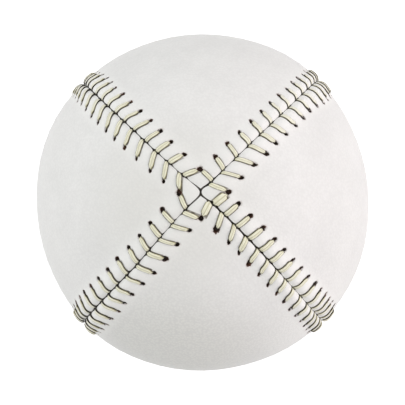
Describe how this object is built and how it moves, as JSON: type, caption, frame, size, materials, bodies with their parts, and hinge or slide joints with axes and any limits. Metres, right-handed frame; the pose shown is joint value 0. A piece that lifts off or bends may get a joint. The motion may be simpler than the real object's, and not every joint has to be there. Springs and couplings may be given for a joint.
{
  "type": "baseball",
  "caption": "Sewn baseball: cork and rubber core, layered wool windings and a one-piece white leather cover whose petals meet in a cross of herringbone-stitched seams.",
  "frame": {"origin": "centre of the ball", "axes": "+Z through the point where the four seams cross, +X between the back right and front right seams, +Y between the two back seams; the uncut base of the cover is at -Z"},
  "size_m": [0.0744, 0.0744, 0.0752],
  "materials": {
    "cork": "pressed cork granules, matte",
    "black_rubber": "moulded, matte",
    "red_rubber": "moulded, matte",
    "grey_wool": "tightly wound plied wool",
    "white_wool": "tightly wound plied wool",
    "finish_yarn": "tightly wound fine cotton",
    "leather": "white tanned, fine grain, satin",
    "thread": "waxed cotton, pale cream"
  },
  "bodies": {
    "root": {"cork_core": "cork", "upper_half_shell": "black_rubber", "lower_half_shell": "black_rubber", "cushion_washer": "red_rubber", "rubber_coat": "red_rubber", "inner_grey_winding": "grey_wool", "white_wool_winding": "white_wool", "outer_grey_winding": "grey_wool", "finish_winding": "finish_yarn", "leather_cover": "leather", "back_right_thread": "thread", "back_left_thread": "thread", "front_left_thread": "thread", "front_right_thread": "thread"}
  },
  "joints": []
}
